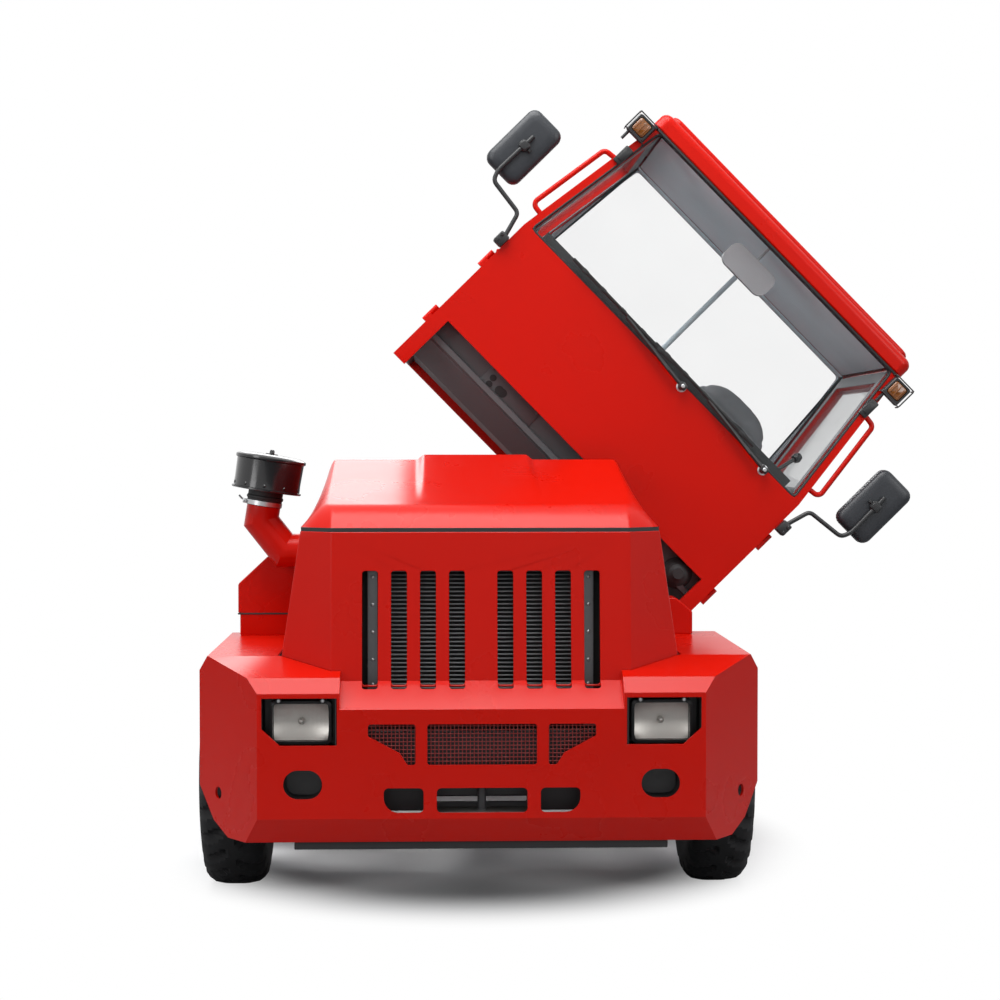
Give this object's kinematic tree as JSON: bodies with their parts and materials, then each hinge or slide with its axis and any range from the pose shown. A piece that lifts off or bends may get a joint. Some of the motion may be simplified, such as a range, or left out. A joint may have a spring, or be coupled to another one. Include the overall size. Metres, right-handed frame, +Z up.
{
  "type": "airport tow tractor",
  "caption": "Heavy airport baggage tow tractor with a slotted hood, broad steel bumper and a cab tilted sideways on a hinge for service, on steered wheels.",
  "frame": {"origin": "on the floor under the middle of the chassis, on its centre plane and at half its length", "axes": "+X to the vehicle's left, +Y to the rear, +Z up; the front faces -Y"},
  "size_m": [2.6124, 3.2995, 2.8053],
  "materials": {
    "red_paint": "gloss",
    "dark_steel": "satin",
    "cab_grey": "satin",
    "rim_paint": "satin",
    "engine_iron": "rough",
    "radiator_metal": "satin",
    "wire_mesh": "satin",
    "tyre_rubber": "matte",
    "black_rubber": "matte",
    "black_plastic": "satin",
    "clear_glass": "gloss",
    "lamp_glass": "gloss",
    "amber_lens": "gloss",
    "red_lens": "gloss",
    "seat_vinyl": "satin",
    "ram_chrome": "polished"
  },
  "bodies": {
    "chassis": {"chassis_frame": "dark_steel", "front_bumper": "red_paint", "bumper_mesh": "wire_mesh", "headlamp_buckets": "black_plastic", "headlamp_lenses": "lamp_glass", "grille_fascia": "red_paint", "hood_sides": "red_paint", "hood_seal": "black_rubber", "radiator": "radiator_metal", "side_boxes": "red_paint", "intake_elbow": "red_paint", "pre_cleaner": "black_plastic", "skid_plate": "dark_steel", "front_tow_jaw": "dark_steel", "drive_line": "engine_iron", "front_axle": "dark_steel", "rear_axle": "dark_steel", "side_tanks": "dark_steel", "steps": "dark_steel", "rear_body": "red_paint", "rear_hitch": "dark_steel", "tail_lamps": "red_lens"},
    "hood": {"hood_lid": "red_paint"},
    "tie_rod": {"tie_rod": "dark_steel"},
    "knuckle_left": {"knuckle_left": "dark_steel"},
    "knuckle_right": {"knuckle_right": "dark_steel"},
    "ram_barrel": {"ram_barrel": "dark_steel"},
    "ram_rod": {"ram_rod": "ram_chrome"},
    "cab": {"cab_front": "red_paint", "cab_rear": "red_paint", "cab_sills": "red_paint", "cab_roof": "red_paint", "cab_floor": "cab_grey", "windscreen": "clear_glass", "rear_glass": "clear_glass", "dashboard": "black_plastic", "seat_base": "cab_grey", "seat_pads": "seat_vinyl", "interior_mirror": "black_plastic", "door_mirrors": "black_plastic", "grab_handles": "red_paint", "corner_lamps": "amber_lens", "wipers": "black_plastic"},
    "steering_wheel": {"steering_wheel": "black_plastic"},
    "door_left": {"door_left": "red_paint", "door_glass_left": "clear_glass"},
    "door_right": {"door_right": "red_paint", "door_glass_right": "clear_glass"},
    "wheel_front_left": {"tyre_front_left": "tyre_rubber", "rim_front_left": "rim_paint"},
    "wheel_front_right": {"tyre_front_right": "tyre_rubber", "rim_front_right": "rim_paint"},
    "wheel_rear_left": {"tyre_rear_left": "tyre_rubber", "rim_rear_left": "rim_paint"},
    "wheel_rear_right": {"tyre_rear_right": "tyre_rubber", "rim_rear_right": "rim_paint"}
  },
  "joints": [
    {"name": "cab_tilt", "type": "hinge", "parent": "chassis", "child": "cab", "pos_m": [0.712, 0, 0.872], "axis": [0, -1, 0], "range_deg": [0, 45.5]},
    {"name": "door_left_hinge", "type": "hinge", "parent": "cab", "child": "door_left", "pos_m": [0.96697, -0.466, 1.0805], "axis": [-0.7133, 0, -0.7009], "range_deg": [0, 70]},
    {"name": "door_right_hinge", "type": "hinge", "parent": "cab", "child": "door_right", "pos_m": [-0.07318, -0.466, 2.13896], "axis": [0.7133, 0, 0.7009], "range_deg": [0, 70]},
    {"name": "hood_hinge", "type": "hinge", "parent": "chassis", "child": "hood", "pos_m": [0, -0.586, 1.48], "axis": [-1, 0, 0], "range_deg": [0, 50]},
    {"name": "steer_left", "type": "hinge", "parent": "chassis", "child": "knuckle_left", "pos_m": [0.69, -0.79, 0.4025], "axis": [0, 0, 1], "range_deg": [-30, 30]},
    {"name": "steer_right", "type": "hinge", "parent": "chassis", "child": "knuckle_right", "pos_m": [-0.69, -0.79, 0.4025], "axis": [0, 0, 1], "range_deg": [-30, 30]},
    {"name": "tie_rod_slide", "type": "slide", "parent": "chassis", "child": "tie_rod", "axis": [1, 0, 0], "range_m": [-0.09, 0.09]},
    {"name": "wheel_front_left_spin", "type": "hinge", "parent": "knuckle_left", "child": "wheel_front_left", "pos_m": [0.845, -0.79, 0.4025], "axis": [1, 0, 0], "continuous": true},
    {"name": "wheel_front_right_spin", "type": "hinge", "parent": "knuckle_right", "child": "wheel_front_right", "pos_m": [-0.845, -0.79, 0.4025], "axis": [1, 0, 0], "continuous": true},
    {"name": "wheel_rear_left_spin", "type": "hinge", "parent": "chassis", "child": "wheel_rear_left", "pos_m": [0.856, 0.95, 0.425], "axis": [1, 0, 0], "continuous": true},
    {"name": "wheel_rear_right_spin", "type": "hinge", "parent": "chassis", "child": "wheel_rear_right", "pos_m": [-0.856, 0.95, 0.425], "axis": [1, 0, 0], "continuous": true},
    {"name": "steering_wheel_turn", "type": "hinge", "parent": "cab", "child": "steering_wheel", "pos_m": [0.9341, -0.13, 1.5277], "axis": [0.5464, 0.6427, 0.537], "continuous": true},
    {"name": "ram_pivot", "type": "hinge", "parent": "chassis", "child": "ram_barrel", "pos_m": [0.305, 0.25, 0.41], "axis": [0, -1, 0], "range_deg": [-0.5, 14.19]},
    {"name": "ram_slide", "type": "slide", "parent": "ram_barrel", "child": "ram_rod", "axis": [-0.1013, 0, -0.9949], "range_m": [-0.0005, 0.33444]}
  ],
  "couplings": [
    {"joint": "steer_right", "follows": "steer_left", "ratio": 1},
    {"joint": "tie_rod_slide", "follows": "steer_left", "m_per_rad": -0.15},
    {"joint": "ram_pivot", "follows": "cab_tilt", "ratio": 0.30081},
    {"joint": "ram_slide", "follows": "cab_tilt", "m_per_rad": 0.42052}
  ]
}
